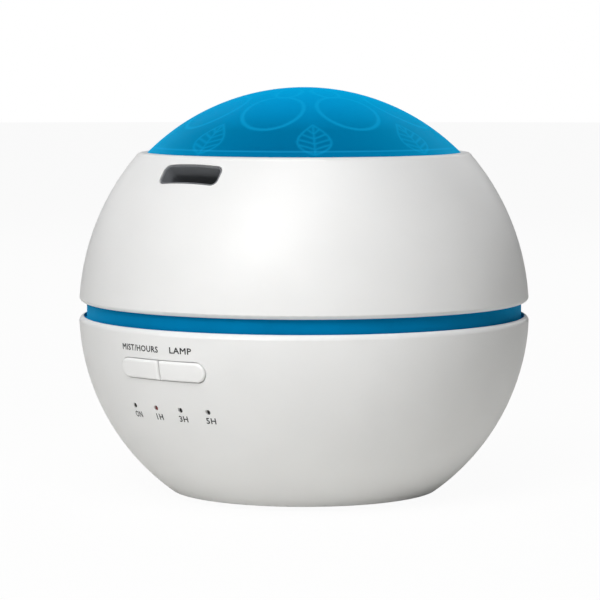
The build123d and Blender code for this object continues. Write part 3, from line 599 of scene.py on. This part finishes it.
def make_labels():
    tree = surface_of("lower_housing")
    ink = ink_material()
    button_z = sum(c.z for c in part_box("mist_button")) / 2
    lamp_z = sum(c.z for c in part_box("indicator_windows")) / 2
    labels = (                      # name, words, azimuth in degrees, height, width
        ("mist_label", "MIST/HOURS", -6.3, button_z + 7.4 * MM, 18.2 * MM),
        ("lamp_label", "LAMP", 6.7, button_z + 7.5 * MM, 9.2 * MM),
        ("timer_on_label", "ON", -12.1, lamp_z - LAMP_LABEL_DROP, 4.2 * MM),
        ("timer_1_label", "1H", -3.65, lamp_z - LAMP_LABEL_DROP, 3.4 * MM),
        ("timer_3_label", "3H", 4.5, lamp_z - LAMP_LABEL_DROP, 4.0 * MM),
        ("timer_5_label", "5H", 12.95, lamp_z - LAMP_LABEL_DROP, 4.1 * MM),
    )
    for name, words, azimuth, height, width in labels:
        mesh = text_mesh(words, width)
        wrap_on_shell(mesh, tree, radians(azimuth), height)
        mesh.name = name
        mesh.materials.append(ink)
        piece = bpy.data.objects.new(name, mesh)
        bpy.context.scene.collection.objects.link(piece)
        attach(piece, "base")


# ---- dome ----
DOME_WALL = 2 * MM
TONGUE_INNER = 55 * MM
TONGUE_OUTER = 56.8 * MM
RIM_DEPTH = 2.1 * MM
RIM_CHAMFER = 0.15 * MM
INNER_STEPS = 24                   # steps of the plain inside surface
DOME_STEP = 0.55 * MM              # spacing of the dome's fine mesh
LINE_DEPTH = 0.05 * MM             # how deep the line drawing is sunk
PETAL_COUNT = 8
DRAWING_TURN = VIEW_AZIMUTH + radians(4 + 22.5)


def loop_points(centre, radial, across, count=48):
    """Closed oval round a point on the sector's axis, in mm, as (along, across)."""
    turns = [2 * pi * step / count for step in range(count + 1)]
    return [(centre + radial * cos(t), across * sin(t)) for t in turns]


def leaf_lines(base, tip, half_width, veins=4):
    """A leaf's outline, midrib and veins, in mm, as lists of (along, across)."""
    def edge(share):
        return half_width * sin(pi * share**0.75)

    def along(share):
        return base + (tip - base) * share

    steps = [i / 16 for i in range(17)]
    lines = [[(along(t), side * edge(t)) for t in steps] for side in (-1, 1)]
    lines.append([(along(0), 0), (along(0.93), 0)])
    for index in range(veins):
        start = 0.16 + 0.17 * index
        end = start + 0.17
        for side in (-1, 1):
            lines.append([(along(start), 0), (along(end), side * edge(end) * 0.97)])
    return lines


def nearest(points, lines):
    """Distance from each point to the nearest of the polylines."""
    best = np.full(len(points), 1e9)
    for line in lines:
        for a, b in zip(np.array(line[:-1]), np.array(line[1:])):
            run = b - a
            share = np.clip(((points - a) @ run) / (run @ run), 0, 1)
            away = points - a - share[:, None] * run
            best = np.minimum(best, np.hypot(away[:, 0], away[:, 1]))
    return best


def folded(reach, turn, offset):
    """Points folded into one sector of the drawing, as (along, across) in mm."""
    sector = 2 * pi / PETAL_COUNT
    local = (turn + offset + sector / 2) % sector - sector / 2
    return np.stack([reach * np.cos(local), reach * np.sin(local)], 1)


def drawing(reach, turn):
    """Strength, 0 to 1, of the line drawing at points given by the distance from
    the crown along the surface, in mm, and the azimuth."""
    sector = 2 * pi / PETAL_COUNT
    petals = nearest(folded(reach, turn, 0), [loop_points(37, 13, 11.5),
                                              loop_points(17.5, 7, 4.5)])
    leaves = nearest(folded(reach, turn, sector / 2), leaf_lines(63.5, 47, 6.6))
    strong = 1 - np.clip((petals - 0.35) / 0.75, 0, 1)
    fine = 0.8 * (1 - np.clip((leaves - 0.15) / 0.55, 0, 1))
    return np.maximum(strong, fine)


def dome_profile(low_z, rim, radius, middle):
    """Closed (r, z) outline: inside surface, tongue, rim, then the outside with fine steps."""
    inner = radius - DOME_WALL
    tilt = asin(TONGUE_INNER / inner)
    profile = [(inner * sin(tilt * i / INNER_STEPS), middle + inner * cos(tilt * i / INNER_STEPS))
               for i in range(INNER_STEPS + 1)]
    under_rim = RIM_Z - RIM_DEPTH
    profile += [(TONGUE_INNER, low_z), (TONGUE_OUTER, low_z), (TONGUE_OUTER, under_rim),
                (rim - RIM_CHAMFER, under_rim), (rim, under_rim + RIM_CHAMFER),
                (rim, RIM_Z - 2 * RIM_CHAMFER)]
    edge = asin(rim / radius)
    count = round(radius * edge / DOME_STEP)
    for i in range(count + 1):
        turn = edge * (1 - i / count)
        profile.append((radius * sin(turn), middle + radius * cos(turn)))
    return profile


def sink_drawing(mesh, points, radius, middle):
    """Sinks the line drawing into the dome's outside and stores its strength for the colour."""
    places = np.array(points)
    tilts = np.arctan2(np.hypot(places[:, 0], places[:, 1]), places[:, 2] - middle)
    turn = np.arctan2(places[:, 0], -places[:, 1]) - DRAWING_TURN
    reach = radius * tilts / MM
    outside = np.linalg.norm(places - (0, 0, middle), axis=1) > radius - DOME_WALL / 4
    strength = np.where(outside, drawing(reach, turn), 0.0)
    directions = (places - (0, 0, middle)) / radius
    places -= directions * (strength * LINE_DEPTH)[:, None]
    mesh.vertices.foreach_set("co", places.ravel())
    layer = mesh.attributes.new("drawing", "FLOAT", "POINT")
    layer.data.foreach_set("value", strength)


def make_dome():
    """Dome with its rim, its tongue and the shallow line drawing on top."""
    low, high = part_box("dome")
    rim, top = high.x, high.z
    rise = top - RIM_Z
    radius = (rim**2 + rise**2) / (2 * rise)
    middle = top - radius
    segments = round(2 * pi * rim / DOME_STEP)
    points, faces = lathe(dome_profile(low.z, rim, radius, middle), segments)
    piece = new_piece("dome_lens", points, faces, blue_dome("dome_blue"), "cover")
    sink_drawing(piece.data, points, radius, middle)
    piece.data.set_sharp_from_angle(angle=radians(35))
    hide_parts("dome")


# ---- mist slot ----
UPPER_CENTRE = (-6.29 * MM, 67.65 * MM)     # (r, z) of the upper shell's outline circle
UPPER_RADIUS = 90.4 * MM
SLOT_Z = 121.4 * MM


CORNER_STEPS = 8
SIDE_PIECES = 12                   # pieces that each side is cut into


def rounded_loop(width, height, corner):
    """Points of a rounded rectangle round the origin, with the same count each time."""
    points = []
    for quarter, (sx, sy) in enumerate(((1, 1), (-1, 1), (-1, -1), (1, -1))):
        cx = sx * (width / 2 - corner)
        cy = sy * (height / 2 - corner)
        for step in range(CORNER_STEPS + 1):
            turn = pi / 2 * (quarter + step / CORNER_STEPS)
            points.append((cx + corner * cos(turn), cy + corner * sin(turn)))
    return points


def dense_loop(width, height, corner):
    """Rounded rectangle with extra points along its straight sides."""
    points = []
    corners = rounded_loop(width, height, corner)
    for index, point in enumerate(corners):
        after = corners[(index + 1) % len(corners)]
        points.append(point)
        if (index + 1) % (CORNER_STEPS + 1) == 0:
            points += [(point[0] + (after[0] - point[0]) * k / SIDE_PIECES,
                        point[1] + (after[1] - point[1]) * k / SIDE_PIECES)
                       for k in range(1, SIDE_PIECES)]
    return points


def make_liner(material):
    """Liner of the mist slot: a rounded lip that follows the shell, a funnel and a passage."""
    slot_r = UPPER_CENTRE[0] + sqrt(UPPER_RADIUS**2 - (SLOT_Z - UPPER_CENTRE[1]) ** 2)
    tilt = atan2(SLOT_Z - UPPER_CENTRE[1], slot_r - UPPER_CENTRE[0])
    outward = Vector((0, -cos(tilt), sin(tilt)))
    upward = Vector((0, sin(tilt), cos(tilt)))
    centre = Vector((0, -slot_r, SLOT_Z))
    across_radius = slot_r / cos(tilt)
    # depth below the shell's skin, width, height, corner (mm), how much it follows the skin
    loops = (
        (20, 26.8, 8.2, 2.6, 0), (4.5, 26.8, 8.2, 2.6, 1), (0.9, 26.8, 8.2, 2.6, 1),
        (0.45, 26.5, 7.9, 2.5, 1), (0.22, 26.15, 7.55, 2.4, 1), (0.18, 25.75, 7.15, 2.2, 1),
        (0.32, 25.45, 6.85, 2.0, 1), (0.75, 25.25, 6.65, 1.9, 1), (3.8, 24.4, 5.8, 1.5, 1),
        (4.4, 24.0, 5.4, 1.4, 1), (6.0, 24.0, 5.4, 1.4, 0.5), (20, 24.0, 5.4, 1.4, 0),
    )
    points, rows = [], []
    for depth, width, height, corner, follow in loops:
        row = []
        for u, v in dense_loop(width * MM, height * MM, corner * MM):
            sag = follow * (u**2 / (2 * across_radius) + v**2 / (2 * UPPER_RADIUS))
            row.append(len(points))
            points.append(centre + Vector((u, 0, 0)) + upward * v - outward * (depth * MM + sag))
        rows.append(row)
    faces = []
    for near, far in zip(rows, rows[1:] + rows[:1]):
        for index in range(len(near)):
            after = (index + 1) % len(near)
            faces.append((near[index], near[after], far[after], far[index]))
    piece = new_piece("slot_liner", points, faces, material, "cover")
    piece.data.set_sharp_from_angle(angle=radians(40))
    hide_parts("mist_nozzle")


make_camera()
make_world()
make_lights()
make_floor()
finishes = make_finishes()
finish_nodes(finishes)
make_labels()
make_dome()
make_liner(finishes["dark_liner"])
bpy.context.scene.view_settings.view_transform = "Standard"
